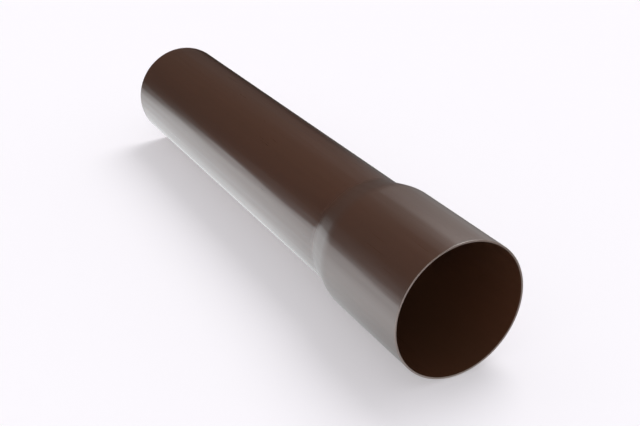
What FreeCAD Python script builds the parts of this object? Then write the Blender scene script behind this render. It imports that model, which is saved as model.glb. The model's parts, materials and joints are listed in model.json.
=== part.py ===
import FreeCAD, Part

import math
import os

import Sketcher

# Brown PVC-U downpipe: one extruded tube whose end was heated and pushed over a mandrel, which
# left a plain push-fit socket, a short sloping shoulder and the barrel, all in one wall.
# The pipe lies along X. The mouth of the socket is in the plane X = 0 and faces +X, and the
# plain end is at X = -overall_length. The origin is the middle of the mouth, on the axis.
# All lengths are in millimetres, and the angle is in degrees.

SIZES = [
    ("barrel_od", 100.0, "outside diameter of the pipe"),
    ("barrel_wall", 1.6, "wall of the pipe as extruded"),
    ("overall_length", 530.0, "from the mouth of the socket to the plain end"),
    ("socket_bore", 109.6, "inside diameter of the socket"),
    ("socket_wall", 1.5, "wall of the socket, thinned a little by the forming"),
    ("socket_depth", 100.0, "parallel part of the socket, from its mouth to its shoulder"),
    ("shoulder_angle", 14.0, "slope of the shoulder to the axis"),
    ("bend_radius", 45.0, "radius on the hollow side of each bend of the shoulder"),
    ("edge_break", 0.3, "chamfer on the four sawn edges"),
]

doc = FreeCAD.newDocument("Downpipe")


def make_size_sheet():
    """The spreadsheet of driving dimensions: name, value and meaning in each row."""
    sheet = doc.addObject("Spreadsheet::Sheet", "sizes")
    for row, (name, value, meaning) in enumerate(SIZES, start=1):
        sheet.set(f"A{row}", name)
        sheet.set(f"B{row}", str(value))
        sheet.set(f"C{row}", meaning)
        sheet.setAlias(f"B{row}", name)
    doc.recompute()
    return sheet


def origin_plane(body, role):
    """The origin plane of a body that has this role, such as XZ_Plane."""
    return next(feature for feature in body.Origin.OriginFeatures if feature.Role == role)


def polar(centre, radius, degrees):
    """The point at this radius and angle from a centre."""
    angle = math.radians(degrees)
    return centre + FreeCAD.Vector(radius * math.cos(angle), radius * math.sin(angle), 0)


def line(start, end):
    """A straight edge."""
    return Part.LineSegment(start, end)


def arc(centre, radius, first, last):
    """An arc that runs anticlockwise from the first angle to the last, in degrees."""
    circle = Part.Circle(centre, FreeCAD.Vector(0, 0, 1), radius)
    return Part.ArcOfCircle(circle, math.radians(first), math.radians(last))


def draw_wall(sketch, sheet):
    """Draw the closed outline of the wall in the half plane above the axis.

    From the plain end to the mouth, each side of the wall is a barrel line, a narrow bend, a
    slope, a wide bend and a socket line. The narrow bend's centre is outside the pipe and the
    wide bend's is inside it. The edges are drawn where the sizes put them: only the outer slope
    moves a little when the sketch is solved, because the wall is thinner at one of its ends.
    """
    point = FreeCAD.Vector
    bore = sheet.socket_bore / 2
    socket = bore + sheet.socket_wall
    barrel = sheet.barrel_od / 2
    waterway = barrel - sheet.barrel_wall
    bend = sheet.bend_radius
    slope = sheet.shoulder_angle
    end = -sheet.overall_length

    wide_centre = point(-sheet.socket_depth, bore - bend, 0)
    slope_top = polar(wide_centre, bend, 90 + slope)
    rise = slope_top.y - polar(point(0, barrel + bend, 0), bend + sheet.barrel_wall, 270 + slope).y
    slope_foot = slope_top - point(rise / math.tan(math.radians(slope)), rise, 0)
    narrow_centre = polar(slope_foot, bend + sheet.barrel_wall, 90 + slope)

    def wall_side(barrel_radius, narrow_bend, wide_bend, socket_radius):
        foot = polar(narrow_centre, narrow_bend, 270 + slope)
        top = polar(wide_centre, wide_bend, 90 + slope)
        return [
            line(point(end, barrel_radius, 0), point(narrow_centre.x, barrel_radius, 0)),
            arc(narrow_centre, narrow_bend, 270, 270 + slope),
            line(foot, top),
            arc(wide_centre, wide_bend, 90, 90 + slope),
            line(point(wide_centre.x, socket_radius, 0), point(0, socket_radius, 0)),
        ]

    inside = sketch.addGeometry(wall_side(waterway, bend + sheet.barrel_wall, bend, bore), False)
    outside = sketch.addGeometry(wall_side(barrel, bend, bend + sheet.socket_wall, socket), False)
    plain_end = sketch.addGeometry(line(point(end, waterway, 0), point(end, barrel, 0)), False)
    mouth = sketch.addGeometry(line(point(0, bore, 0), point(0, socket, 0)), False)
    return inside, outside, plain_end, mouth


def constrain_wall(sketch, inside, outside, plain_end, mouth):
    """Join the outline's edges, make its bends tangent, and bind its sizes to the sheet."""
    start, finish, middle = 1, 2, 3
    origin = (-1, 1)
    upright_axis = -2

    def join(kind, first, first_point, second, second_point):
        sketch.addConstraint(Sketcher.Constraint(kind, first, first_point, second, second_point))

    def drive(name, expression, kind, *where):
        value = sketch.evalExpression(expression)
        drawn = math.radians(value) if kind == "Angle" else value
        index = sketch.addConstraint(Sketcher.Constraint(kind, *where, drawn))
        sketch.renameConstraint(index, name)
        sketch.setExpression(f"Constraints.{name}", expression)

    for barrel_line, narrow_bend, slope, wide_bend, socket_line in (inside, outside):
        join("Tangent", barrel_line, finish, narrow_bend, start)
        join("Tangent", narrow_bend, finish, slope, start)
        join("Tangent", slope, finish, wide_bend, finish)
        join("Tangent", wide_bend, start, socket_line, start)
        sketch.addConstraint(Sketcher.Constraint("Horizontal", barrel_line))
        sketch.addConstraint(Sketcher.Constraint("Horizontal", socket_line))

    in_barrel, in_narrow, in_slope, in_wide, in_socket = inside
    out_barrel, out_narrow, _, out_wide, out_socket = outside
    join("Coincident", plain_end, start, in_barrel, start)
    join("Coincident", plain_end, finish, out_barrel, start)
    join("Coincident", mouth, start, in_socket, finish)
    join("Coincident", mouth, finish, out_socket, finish)
    join("Coincident", in_narrow, middle, out_narrow, middle)
    join("Coincident", in_wide, middle, out_wide, middle)
    sketch.addConstraint(Sketcher.Constraint("Vertical", plain_end))
    sketch.addConstraint(Sketcher.Constraint("Vertical", mouth))
    sketch.addConstraint(Sketcher.Constraint("PointOnObject", mouth, start, upright_axis))

    drive("barrel_radius", "sizes.barrel_od / 2", "DistanceY", *origin, plain_end, finish)
    drive("barrel_wall", "sizes.barrel_wall", "DistanceY", plain_end, start, plain_end, finish)
    drive("bore_radius", "sizes.socket_bore / 2", "DistanceY", *origin, mouth, start)
    drive("socket_wall", "sizes.socket_wall", "DistanceY", mouth, start, mouth, finish)
    drive("length", "sizes.overall_length", "DistanceX", plain_end, start, *origin)
    drive("depth", "sizes.socket_depth", "DistanceX", in_socket, start, *origin)
    drive("narrow_bend", "sizes.bend_radius", "Radius", out_narrow)
    drive("wide_bend", "sizes.bend_radius", "Radius", in_wide)
    drive("slope", "sizes.shoulder_angle", "Angle", in_slope)


def sawn_edges(shape, sheet):
    """The names of the circular edges in the plane of the mouth and in that of the plain end."""
    ends = (0.0, -sheet.overall_length)
    names = []
    for number, edge in enumerate(shape.Edges, start=1):
        box = edge.BoundBox
        if box.XLength < 0.001 and min(abs(box.Center.x - end) for end in ends) < 0.001:
            names.append(f"Edge{number}")
    return names


def make_downpipe(sheet):
    """The whole pipe: its wall turned about the axis, with the sawn edges broken."""
    body = doc.addObject("PartDesign::Body", "downpipe")
    body.Label = "downpipe"

    sketch = body.newObject("Sketcher::SketchObject", "wall_section")
    sketch.AttachmentSupport = [(origin_plane(body, "XZ_Plane"), "")]
    sketch.MapMode = "FlatFace"
    constrain_wall(sketch, *draw_wall(sketch, sheet))
    doc.recompute()

    tube = body.newObject("PartDesign::Revolution", "formed_tube")
    tube.Profile = sketch
    tube.ReferenceAxis = (sketch, ["H_Axis"])
    tube.Angle = 360
    doc.recompute()

    breaks = body.newObject("PartDesign::Chamfer", "edge_breaks")
    breaks.Base = (tube, sawn_edges(tube.Shape, sheet))
    breaks.setExpression("Size", "sizes.edge_break")
    body.Tip = breaks
    body.Placement = FreeCAD.Placement()
    return body, sketch


def check(bodies, sketches):
    """Stop if any object failed, a sketch is loose, or a body isn't one valid solid."""
    for thing in doc.Objects:
        if {"Invalid", "Error"} & set(thing.State):
            raise RuntimeError(f"{thing.Label} failed: {thing.State}")
    for sketch in sketches:
        if not sketch.FullyConstrained:
            raise RuntimeError(f"{sketch.Label} is not fully constrained")
    for body in bodies:
        if body.Shape.isNull() or not body.Shape.isValid() or len(body.Shape.Solids) != 1:
            raise RuntimeError(f"{body.Label} is not one valid solid")


sizes = make_size_sheet()
downpipe, wall_section = make_downpipe(sizes)
doc.recompute()
check([downpipe], [wall_section])

os.makedirs("parts", exist_ok=True)
downpipe.Shape.exportStep(f"parts/{downpipe.Label}.step")
print(f"{downpipe.Label}: {downpipe.Shape.Volume / 1000:.1f} cm3, {downpipe.Shape.BoundBox}")
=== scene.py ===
import json
import math

import bpy
import numpy as np
from mathutils import Matrix, Vector


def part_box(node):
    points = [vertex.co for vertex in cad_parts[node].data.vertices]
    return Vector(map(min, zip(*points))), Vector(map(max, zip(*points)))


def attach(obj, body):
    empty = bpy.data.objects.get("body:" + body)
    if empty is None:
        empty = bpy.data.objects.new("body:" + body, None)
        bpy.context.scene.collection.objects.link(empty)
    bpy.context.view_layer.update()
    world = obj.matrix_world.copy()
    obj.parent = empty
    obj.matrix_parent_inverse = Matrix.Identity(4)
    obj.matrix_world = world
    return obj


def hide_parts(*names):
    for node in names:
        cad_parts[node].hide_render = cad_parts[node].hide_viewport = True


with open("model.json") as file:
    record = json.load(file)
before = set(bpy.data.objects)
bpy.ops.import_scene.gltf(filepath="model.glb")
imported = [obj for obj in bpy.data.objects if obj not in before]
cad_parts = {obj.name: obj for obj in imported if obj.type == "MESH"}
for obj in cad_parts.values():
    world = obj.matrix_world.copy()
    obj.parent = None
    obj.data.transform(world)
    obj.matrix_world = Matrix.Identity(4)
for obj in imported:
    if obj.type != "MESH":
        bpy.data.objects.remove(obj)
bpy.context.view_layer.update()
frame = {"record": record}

# ---------------------------------------------------------------------------------------------
# The downpipe: one tube of brown PVC-U, extruded through a ring die and sawn to length. One end
# was then heated and pushed over a mandrel, which left the socket, its sloping shoulder and a
# wall there that is a little thinner. The sawn edges were broken with a scraper.

mounts = {mount["name"]: mount for mount in frame["record"]["mounts"]}
low_corner, high_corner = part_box("downpipe")
PIPE_LENGTH = high_corner.x - low_corner.x
BARREL_RADIUS = mounts["spigot"]["dims"]["r_mm"] / 1000
SOCKET_BORE_RADIUS = mounts["socket"]["dims"]["r_mm"] / 1000
EDGE_BREAK = 0.0003
SOCKET_DEPTH = mounts["socket"]["dims"]["length_mm"] / 1000 + EDGE_BREAK
BARREL_WALL = 0.0016
SOCKET_WALL = 0.0015
SHOULDER_SLOPE = math.radians(14)
BEND_RADIUS = 0.045
SHOULDER_LENGTH = 0.037
STEPS_ROUND = 360
RUN_STEP = 0.006
BEND_STEPS = 14
EDGE_STEPS = 5


def run(start, end, step=RUN_STEP):
    """A straight run of (along, radius) points, not counting its last one.

    The spacing follows half a cosine, so that points crowd towards both ends of the run and the
    smooth shading of a long flat run isn't pulled round by the small edges beside it.
    """
    start, end = np.array(start), np.array(end)
    count = max(4, int(np.linalg.norm(end - start) / step))
    share = 0.5 - 0.5 * np.cos(np.pi * np.arange(count) / count)
    return start + share[:, None] * (end - start)


def bend(centre, radius, first, last, steps=BEND_STEPS):
    """Points on an arc from the first angle towards the last, in radians, without the last one."""
    angle = first + (last - first) * np.arange(steps) / steps
    return np.array(centre) + radius * np.stack([np.cos(angle), np.sin(angle)], axis=1)


def wall_outline():
    """The closed outline of the wall as (along, radius) points, clockwise from the plain end.

    Outside, it goes along the barrel, up the shoulder and along the socket to the mouth, over
    the rounded edges of the sawn face, and back the same way along the inside. Both bends of the
    shoulder are arcs with one centre for the two faces of the wall.
    """
    up = math.pi / 2
    wide = np.array([-SOCKET_DEPTH, SOCKET_BORE_RADIUS - BEND_RADIUS])
    top = wide + BEND_RADIUS * np.array([-math.sin(SHOULDER_SLOPE), math.cos(SHOULDER_SLOPE)])
    inner_bend = BEND_RADIUS + BARREL_WALL
    foot_radius = BARREL_RADIUS + BEND_RADIUS - inner_bend * math.cos(SHOULDER_SLOPE)
    foot_x = top[0] - (top[1] - foot_radius) / math.tan(SHOULDER_SLOPE)
    narrow = np.array([foot_x - inner_bend * math.sin(SHOULDER_SLOPE), BARREL_RADIUS + BEND_RADIUS])

    def shoulder(narrow_radius, wide_radius):
        foot = narrow + narrow_radius * np.array([math.sin(SHOULDER_SLOPE), -math.cos(SHOULDER_SLOPE)])
        head = wide + wide_radius * np.array([-math.sin(SHOULDER_SLOPE), math.cos(SHOULDER_SLOPE)])
        return np.concatenate([
            bend(narrow, narrow_radius, -up, -up + SHOULDER_SLOPE),
            run(foot, head, 0.0015),
            bend(wide, wide_radius, up + SHOULDER_SLOPE, up),
            [[wide[0], wide[1] + wide_radius]],
        ])

    outside = shoulder(BEND_RADIUS, BEND_RADIUS + SOCKET_WALL)
    inside = shoulder(inner_bend, BEND_RADIUS)[::-1]
    end = -PIPE_LENGTH
    edge = EDGE_BREAK
    socket_radius = SOCKET_BORE_RADIUS + SOCKET_WALL
    bore = BARREL_RADIUS - BARREL_WALL
    return np.concatenate([
        run((end + edge, BARREL_RADIUS), outside[0]),
        outside[:-1],
        run(outside[-1], (-edge, socket_radius)),
        bend((-edge, socket_radius - edge), edge, up, 0, EDGE_STEPS),
        run((0, socket_radius - edge), (0, SOCKET_BORE_RADIUS + edge), 0.0002),
        bend((-edge, SOCKET_BORE_RADIUS + edge), edge, 0, -up, EDGE_STEPS),
        run((-edge, SOCKET_BORE_RADIUS), inside[0]),
        inside[:-1],
        run(inside[-1], (end + edge, bore)),
        bend((end + edge, bore + edge), edge, -up, -2 * up, EDGE_STEPS),
        run((end, bore + edge), (end, BARREL_RADIUS - edge), 0.0002),
        bend((end + edge, BARREL_RADIUS - edge), edge, 2 * up, up, EDGE_STEPS),
    ])


def turned_mesh(name, outline, steps_round):
    """A closed mesh: a closed outline of (along, radius) points turned once round the X axis.

    Point (i, j) is at x = along_i, y = radius_i cos(a_j), z = radius_i sin(a_j). The grid closes
    on itself both ways, so it has no seam and no poles.
    """
    angle = 2 * np.pi * np.arange(steps_round) / steps_round
    along, radius = outline[:, 0], outline[:, 1]
    grid = np.stack([
        np.repeat(along[:, None], steps_round, axis=1),
        radius[:, None] * np.cos(angle),
        radius[:, None] * np.sin(angle),
    ], axis=2)
    index = np.arange(len(outline) * steps_round).reshape(len(outline), steps_round)
    ahead = np.roll(index, -1, axis=0)
    faces = np.stack([index, ahead, np.roll(ahead, -1, axis=1), np.roll(index, -1, axis=1)], axis=2)
    mesh = bpy.data.meshes.new(name)
    mesh.from_pydata(grid.reshape(-1, 3), [], faces.reshape(-1, 4)[:, ::-1])
    mesh.polygons.foreach_set("use_smooth", np.ones(len(mesh.polygons), bool))
    mesh.update()
    return mesh


def mark_skin(mesh, outline, steps_round):
    """Three point attributes that tell how the skin was worked.

    "sawn" is 1 on the two sawn faces and their edges and 0 elsewhere. "inner" is 1 on the inside
    of the pipe, which no sleeve polished. "dulled" is 0 on the barrel, 1 halfway down the
    shoulder, where the heated wall was stretched most, and 0.5 on the socket. With s the share
    of the way up the shoulder, it is 0.5 s + 3 s (1 - s).
    """
    along = outline[:, 0]
    sawn = (along > -0.9 * EDGE_BREAK) | (along < 0.9 * EDGE_BREAK - PIPE_LENGTH)
    inner = (np.arange(len(along)) > np.argmax(along)) & ~sawn
    share = np.clip(1 + (along + SOCKET_DEPTH) / SHOULDER_LENGTH, 0, 1)
    dulled = 0.5 * share + 3 * share * (1 - share)
    for name, value in (("sawn", sawn), ("inner", inner), ("dulled", dulled)):
        attribute = mesh.attributes.new(name, "FLOAT", "POINT")
        attribute.data.foreach_set("value", np.repeat(value.astype(np.float32), steps_round))


def node(tree, kind, inputs=None, **settings):
    """A shader node with its settings and unlinked input values given."""
    made = tree.nodes.new(kind)
    for key, value in settings.items():
        setattr(made, key, value)
    for key, value in (inputs or {}).items():
        made.inputs[key].default_value = value
    return made


def round_the_pipe(tree, place):
    """A point's place along the pipe in metres, and its direction from the axis as a unit step."""
    parts = node(tree, "ShaderNodeSeparateXYZ")
    tree.links.new(place, parts.inputs[0])
    sideways = node(tree, "ShaderNodeVectorMath", operation="MULTIPLY")
    sideways.inputs[1].default_value = (0, 1, 1)
    tree.links.new(place, sideways.inputs[0])
    step = node(tree, "ShaderNodeVectorMath", operation="NORMALIZE")
    tree.links.new(sideways.outputs[0], step.inputs[0])
    around = node(tree, "ShaderNodeSeparateXYZ")
    tree.links.new(step.outputs[0], around.inputs[0])
    joined = node(tree, "ShaderNodeCombineXYZ")
    for source, axis in ((parts, "X"), (around, "Y"), (around, "Z")):
        tree.links.new(source.outputs[axis], joined.inputs[axis])
    return joined.outputs[0]


def grain(tree, place, stretch, scale, detail):
    """Noise on a place whose three directions are first scaled by stretch."""
    mapping = node(tree, "ShaderNodeMapping", {"Scale": stretch})
    noise = node(tree, "ShaderNodeTexNoise", {"Scale": scale, "Detail": detail, "Roughness": 0.6})
    tree.links.new(place, mapping.inputs["Vector"])
    tree.links.new(mapping.outputs["Vector"], noise.inputs["Vector"])
    return noise.outputs["Fac"]


def ramp(tree, factor, low, high):
    """A number that goes from low to high as the factor goes from a quarter to three quarters."""
    spread = node(tree, "ShaderNodeMapRange",
                  {"From Min": 0.25, "From Max": 0.75, "To Min": low, "To Max": high})
    tree.links.new(factor, spread.inputs["Value"])
    return spread.outputs["Result"]


def mix(tree, factor, first, second):
    """Mix two colours. Each is a tuple or a socket."""
    blend = node(tree, "ShaderNodeMix", data_type="RGBA")
    tree.links.new(factor, blend.inputs["Factor"])
    for socket, colour in ((blend.inputs[6], first), (blend.inputs[7], second)):
        if isinstance(colour, tuple):
            socket.default_value = (*colour, 1)
        else:
            tree.links.new(colour, socket)
    return blend.outputs[2]


def bump(tree, height, distance, strength, below=None):
    """Relief whose full height is distance in metres, on top of the relief below it."""
    relief = node(tree, "ShaderNodeBump", {"Strength": strength, "Distance": distance})
    tree.links.new(height, relief.inputs["Height"])
    if below is not None:
        tree.links.new(below, relief.inputs["Normal"])
    return relief.outputs["Normal"]


def brown_pvc():
    """Extruded brown PVC-U: satin skin with faint die lines, and paler matt sawn faces.

    The die left fine lines and broad soft ridges that run along the pipe and through the
    shoulder. The skin is a little duller on the socket than on the barrel, duller still on the
    shoulder, and dullest inside. The saw left fine marks across the sawn faces.
    """
    material = bpy.data.materials.new("brown_pvc_skin")
    material.use_nodes = True
    tree = material.node_tree
    shader = tree.nodes["Principled BSDF"]
    place = node(tree, "ShaderNodeTexCoord").outputs["Object"]
    drawn = round_the_pipe(tree, place)

    cloud = grain(tree, place, (0.35, 1, 1), 14, 3)
    ridges = grain(tree, drawn, (0.8, 1, 1), 5, 1)
    lines = grain(tree, drawn, (0.25, 1, 1), 42, 3)
    saw_marks = grain(tree, place, (1, 0.04, 1), 1500, 2)
    sawn = node(tree, "ShaderNodeAttribute", attribute_name="sawn").outputs["Fac"]
    inner = node(tree, "ShaderNodeAttribute", attribute_name="inner").outputs["Fac"]
    dulled = node(tree, "ShaderNodeAttribute", attribute_name="dulled").outputs["Fac"]

    brown = mix(tree, ramp(tree, cloud, 0, 1), (0.098, 0.0375, 0.0185), (0.087, 0.0375, 0.0190))
    brown = mix(tree, ramp(tree, lines, 0, 0.3), brown, (0.108, 0.043, 0.023))
    cut = mix(tree, ramp(tree, saw_marks, 0, 1), (0.20, 0.145, 0.115), (0.28, 0.205, 0.165))
    tree.links.new(mix(tree, sawn, brown, cut), shader.inputs["Base Color"])

    rough = node(tree, "ShaderNodeMath", operation="MULTIPLY_ADD")
    tree.links.new(sawn, rough.inputs[0])
    rough.inputs[1].default_value = 0.25
    tree.links.new(ramp(tree, lines, 0.27, 0.33), rough.inputs[2])
    tree.links.new(rough.outputs[0], shader.inputs["Roughness"])

    relief = bump(tree, ridges, 0.0012, 0.5)
    relief = bump(tree, lines, 0.00006, 0.5, relief)
    tree.links.new(relief, shader.inputs["Normal"])
    tree.links.new(relief, shader.inputs["Coat Normal"])
    shader.inputs["IOR"].default_value = 1.54

    def changed_by(attribute, change, value):
        """A value, a number or a socket, plus the change times the attribute."""
        result = node(tree, "ShaderNodeMath", operation="MULTIPLY_ADD")
        tree.links.new(attribute, result.inputs[0])
        result.inputs[1].default_value = change
        if isinstance(value, float):
            result.inputs[2].default_value = value
        else:
            tree.links.new(value, result.inputs[2])
        return result.outputs[0]

    weight = changed_by(inner, -0.75, changed_by(dulled, -0.08, 1.0))
    tree.links.new(weight, shader.inputs["Coat Weight"])
    tree.links.new(changed_by(dulled, 0.19, 0.19), shader.inputs["Coat Roughness"])
    shader.inputs["Coat IOR"].default_value = 2.3
    return material


outline = wall_outline()
pipe_mesh = turned_mesh("pipe_wall", outline, STEPS_ROUND)
mark_skin(pipe_mesh, outline, STEPS_ROUND)
pipe_mesh.materials.append(brown_pvc())
pipe = bpy.data.objects.new("pipe_wall", pipe_mesh)
bpy.context.scene.collection.objects.link(pipe)
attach(pipe, "root")
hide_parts("downpipe")

# ---------------------------------------------------------------------------------------------
# The floor: a plain pale studio floor. The pipe lies on it unheld, so it leans by the step from
# the socket to the barrel, and touches the floor behind the socket and at its plain end.

FLOOR_REACH = 12.0
FLOOR_WHITE = (0.93, 0.905, 0.955)
WHITE_SHARE = 0.35
WHITE_SEEN = (1.0, 0.98, 1.0, 1.0)
# the white of the painted reflection: the floor glows with it in the pipe's gloss, though it is no
# lamp
PAINTED_REFLECTION_WHITE = (0.97, 0.985, 1.0, 1.0)
socket_radius = SOCKET_BORE_RADIUS + SOCKET_WALL
lean = math.atan((socket_radius - BARREL_RADIUS) / (PIPE_LENGTH - SOCKET_DEPTH))
floor_mesh = bpy.data.meshes.new("studio_floor")
floor_mesh.from_pydata(
    [(x, y, 0) for x, y in ((-1, -1), (1, -1), (1, 1), (-1, 1))], [], [(0, 1, 2, 3)])
floor_mesh.transform(
    Matrix.Translation((-SOCKET_DEPTH, 0, -socket_radius))
    @ Matrix.Rotation(lean, 4, "Y")
    @ Matrix.Diagonal((FLOOR_REACH, FLOOR_REACH, 1, 1)))
floor = bpy.data.objects.new("studio_floor", floor_mesh)
bpy.context.scene.collection.objects.link(floor)


def pale_floor():
    """Matt white board, seen a little brighter than its shade so that the shadow stays soft.

    In the pipe's gloss the board is a painted reflection, a white glow though it is no lamp,
    bright near the pipe. The glow fades with the distance from the mouth, in a painted shade
    beside the socket, and far off in line with the pipe, and it is dark on the far side of the pipe.
    """
    material = bpy.data.materials.new("pale_floor")
    material.use_nodes = True
    tree = material.node_tree
    board = tree.nodes["Principled BSDF"]
    board.inputs["Base Color"].default_value = (*FLOOR_WHITE, 1)
    board.inputs["Roughness"].default_value = 0.9
    board.inputs["Specular IOR Level"].default_value = 0.0

    place = node(tree, "ShaderNodeTexCoord").outputs["Object"]
    across = node(tree, "ShaderNodeSeparateXYZ")
    tree.links.new(place, across.inputs[0])
    reach = node(tree, "ShaderNodeVectorMath", operation="LENGTH")
    tree.links.new(place, reach.inputs[0])
    away = reach.outputs["Value"]

    def step(distance, start, end, low, high):
        spread = node(tree, "ShaderNodeMapRange", {
            "From Min": start, "From Max": end, "To Min": low, "To Max": high,
        }, interpolation_type="SMOOTHSTEP")
        tree.links.new(distance, spread.inputs["Value"])
        return spread.outputs["Result"]

    def combine(operation, first, second):
        result = node(tree, "ShaderNodeMath", operation=operation)
        for socket, value in zip(result.inputs, (first, second)):
            if isinstance(value, float):
                socket.default_value = value
            else:
                tree.links.new(value, socket)
        return result.outputs[0]

    def blend(share, first, second):
        mixed = node(tree, "ShaderNodeMixShader")
        tree.links.new(share, mixed.inputs["Fac"])
        tree.links.new(first, mixed.inputs[1])
        tree.links.new(second, mixed.inputs[2])
        return mixed.outputs[0]

    seen = node(tree, "ShaderNodeLightPath")
    white = node(tree, "ShaderNodeEmission", {"Color": WHITE_SEEN})
    lifted = combine("MULTIPLY", seen.outputs["Is Camera Ray"], WHITE_SHARE)
    softened = blend(lifted, board.outputs[0], white.outputs[0])

    # painted shade in that glow beside the socket, darkening the reflection there
    beside_socket = step(across.outputs["Y"], -0.13, -0.04, 0, 1)
    painted_shade = combine("MULTIPLY", beside_socket, step(across.outputs["X"], -0.3, 0.0, 0, 0.55))
    near = combine("MULTIPLY", combine("SUBTRACT", 1.0, painted_shade), step(away, 0.55, 1.4, 1.0, 0.1))
    sideways = combine("DIVIDE", across.outputs["Y"], away)
    in_line = combine("MULTIPLY", step(away, 0.6, 1.1, 0, 1), step(sideways, -0.32, -0.24, 0, 0.85))
    open_side = combine("MULTIPLY", near, combine("SUBTRACT", 1.0, in_line))
    one_side = combine("MULTIPLY", open_side, step(across.outputs["Y"], 0.0, 0.1, 1.0, 0.1))

    # the painted reflection: for glossy rays the board is a white glow with the painted strength above
    painted_reflection = node(tree, "ShaderNodeEmission", {"Color": PAINTED_REFLECTION_WHITE})
    tree.links.new(one_side, painted_reflection.inputs["Strength"])
    whole = blend(seen.outputs["Is Glossy Ray"], softened, painted_reflection.outputs[0])
    tree.links.new(whole, tree.nodes["Material Output"].inputs["Surface"])
    return material


floor_mesh.materials.append(pale_floor())

# ---------------------------------------------------------------------------------------------
# The light: a broad soft lamp high behind the pipe and an even dome, together at the level at
# which a colour shows as it is. The camera sees the dome as near white. In the pipe's gloss it is
# dark but for a low haze to one side. A panel beside the pipe shows only in the gloss.

DOME_LEVEL = 0.55
DOME_IN_GLOSS = 0.03
HAZE_IN_GLOSS = 0.25
LAMP_LEVEL = 0.45
LAMP_DIRECTION = Vector((-0.30, 0.50, 0.81))
FILL_LEVEL = 0.12
FILL_DIRECTION = Vector((0.75, -0.35, 0.45))
PANEL_LEVEL = 0.42
PANEL_SIZE = (1.1, 1.05)
PANEL_PLACE = Vector((-0.32, 0.35, 0.475))
DOME_TINT = (1, 0.985, 1, 1)
LAMP_ANGLE = math.radians(38)
FILL_ANGLE = math.radians(25)
world = bpy.data.worlds.new("studio")
world.use_nodes = True
bpy.context.scene.world = world
sky = world.node_tree
dome = sky.nodes["Background"]
dome.inputs["Color"].default_value = DOME_TINT
seen = node(sky, "ShaderNodeLightPath")
direction = node(sky, "ShaderNodeSeparateXYZ")
sky.links.new(node(sky, "ShaderNodeTexCoord").outputs["Generated"], direction.inputs[0])
low = node(sky, "ShaderNodeMapRange",
           {"From Min": 0.3, "From Max": 0.0}, interpolation_type="SMOOTHSTEP")
sky.links.new(direction.outputs["Z"], low.inputs["Value"])
aside = node(sky, "ShaderNodeMapRange",
             {"From Min": -0.5, "From Max": -0.66}, interpolation_type="SMOOTHSTEP")
sky.links.new(direction.outputs["Y"], aside.inputs["Value"])
haze = node(sky, "ShaderNodeMath", operation="MULTIPLY")
sky.links.new(low.outputs["Result"], haze.inputs[0])
sky.links.new(aside.outputs["Result"], haze.inputs[1])
in_gloss = node(sky, "ShaderNodeMath", operation="MULTIPLY_ADD")
in_gloss.inputs[1].default_value = HAZE_IN_GLOSS
in_gloss.inputs[2].default_value = DOME_IN_GLOSS
sky.links.new(haze.outputs[0], in_gloss.inputs[0])
for_camera = node(sky, "ShaderNodeMath", operation="MULTIPLY_ADD")
for_camera.inputs[1].default_value = 1 - DOME_LEVEL
for_camera.inputs[2].default_value = DOME_LEVEL
sky.links.new(seen.outputs["Is Camera Ray"], for_camera.inputs[0])
strength = node(sky, "ShaderNodeMix", data_type="FLOAT")
sky.links.new(seen.outputs["Is Glossy Ray"], strength.inputs["Factor"])
sky.links.new(for_camera.outputs[0], strength.inputs["A"])
sky.links.new(in_gloss.outputs[0], strength.inputs["B"])
sky.links.new(strength.outputs["Result"], dome.inputs["Strength"])

lamp_data = bpy.data.lights.new("soft_lamp", "SUN")
lamp_data.angle = LAMP_ANGLE
lamp_data.energy = LAMP_LEVEL * math.pi / LAMP_DIRECTION.normalized().z
lamp = bpy.data.objects.new("soft_lamp", lamp_data)
lamp.rotation_euler = LAMP_DIRECTION.to_track_quat("Z", "Y").to_euler()
bpy.context.scene.collection.objects.link(lamp)

fill_data = bpy.data.lights.new("front_fill", "SUN")
fill_data.angle = FILL_ANGLE
fill_data.energy = FILL_LEVEL * math.pi
fill = bpy.data.objects.new("front_fill", fill_data)
fill.rotation_euler = FILL_DIRECTION.to_track_quat("Z", "Y").to_euler()
bpy.context.scene.collection.objects.link(fill)

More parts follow.
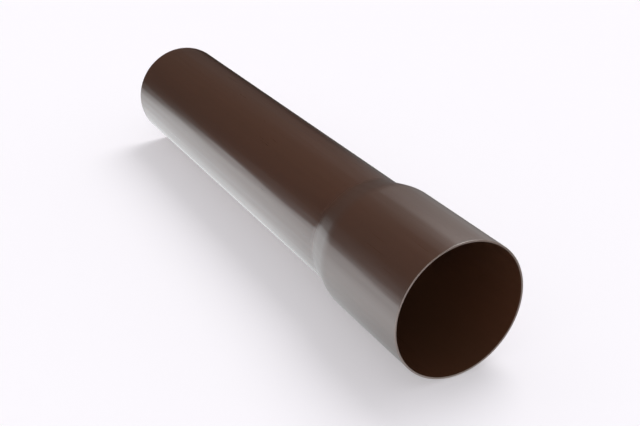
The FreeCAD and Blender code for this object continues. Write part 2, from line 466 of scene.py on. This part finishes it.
panel_data = bpy.data.lights.new("side_panel", "AREA")
panel_data.shape = "RECTANGLE"
panel_data.size = PANEL_SIZE[0]
panel_data.size_y = PANEL_SIZE[1]
panel_data.energy = PANEL_LEVEL * math.pi * PANEL_SIZE[0] * PANEL_SIZE[1]
panel_data.use_nodes = True
gel = panel_data.node_tree
corner = node(gel, "ShaderNodeSeparateXYZ")
gel.links.new(node(gel, "ShaderNodeNewGeometry").outputs["Parametric"], corner.inputs[0])
along = node(gel, "ShaderNodeMapRange",
             {"From Min": 0.12, "From Max": 0.64}, interpolation_type="SMOOTHSTEP")
gel.links.new(corner.outputs["X"], along.inputs["Value"])
faded = node(gel, "ShaderNodeMath", operation="MULTIPLY")
gel.links.new(along.outputs["Result"], faded.inputs[0])
gel.links.new(corner.outputs["Y"], faded.inputs[1])
gel.links.new(faded.outputs[0], gel.nodes["Emission"].inputs["Strength"])
panel = bpy.data.objects.new("side_panel", panel_data)
panel.location = PANEL_PLACE
panel.rotation_euler = (math.radians(-90), 0, 0)
panel.visible_camera = False
panel.visible_diffuse = False
bpy.context.scene.collection.objects.link(panel)

# ---------------------------------------------------------------------------------------------
# The camera: level, looking down at the lying pipe from beyond its mouth. Its place is given
# from the middle of the mouth, in barrel diameters along its own three directions.

VIEW_AZIMUTH = math.radians(61.3)
VIEW_ELEVATION = math.radians(26.45)
MOUTH_RIGHT_OF_CENTRE = 1.014
MOUTH_BELOW_CENTRE = 0.707
MOUTH_AHEAD = 7.501
SENSOR_WIDTH = 36.0
FOCAL_LENGTH = 58.6
right = Vector((math.cos(VIEW_AZIMUTH), math.sin(VIEW_AZIMUTH), 0))
forward = Vector((-math.sin(VIEW_AZIMUTH) * math.cos(VIEW_ELEVATION),
                  math.cos(VIEW_AZIMUTH) * math.cos(VIEW_ELEVATION), -math.sin(VIEW_ELEVATION)))
above = right.cross(forward)
camera_data = bpy.data.cameras.new("camera")
camera_data.sensor_width = SENSOR_WIDTH
camera_data.lens = FOCAL_LENGTH
camera_data.clip_start = 0.01
camera = bpy.data.objects.new("camera", camera_data)
camera.matrix_world = Matrix.Translation(
    -2 * BARREL_RADIUS
    * (MOUTH_RIGHT_OF_CENTRE * right - MOUTH_BELOW_CENTRE * above + MOUTH_AHEAD * forward)
) @ Matrix((right, above, -forward)).transposed().to_4x4()
bpy.context.scene.collection.objects.link(camera)
bpy.context.scene.camera = camera

bpy.context.scene.view_settings.view_transform = "Standard"
